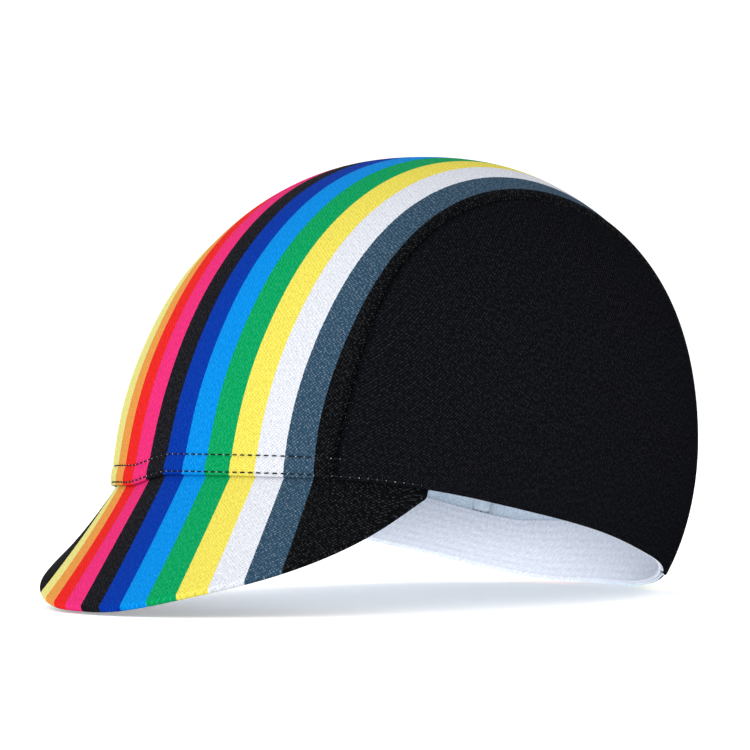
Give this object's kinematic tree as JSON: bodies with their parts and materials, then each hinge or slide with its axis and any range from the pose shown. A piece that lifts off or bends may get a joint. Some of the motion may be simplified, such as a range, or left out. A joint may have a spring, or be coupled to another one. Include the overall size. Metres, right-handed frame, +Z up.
{
  "type": "cycling cap",
  "caption": "Soft cycling cap of knit mesh with a striped centre panel, two black side panels, an inner band and a short stiff peak.",
  "frame": {"origin": "on the floor that the cap rests on, under the middle of its bounding box", "axes": "+Z up, the peak points along -Y, the wearer's left is +X"},
  "size_m": [0.1558, 0.2342, 0.1383],
  "materials": {
    "striped_mesh": "matt knit mesh with eleven equal lengthwise stripes of different colours",
    "black_mesh": "matt black knit mesh",
    "white_band": "smooth matt white cloth tape",
    "striped_peak": "the same striped knit stretched over a stiff board, black at both ends"
  },
  "bodies": {
    "root": {"centre_panel": "striped_mesh", "side_panel_left": "black_mesh", "side_panel_right": "black_mesh", "inner_band": "white_band", "peak": "striped_peak"}
  },
  "joints": []
}
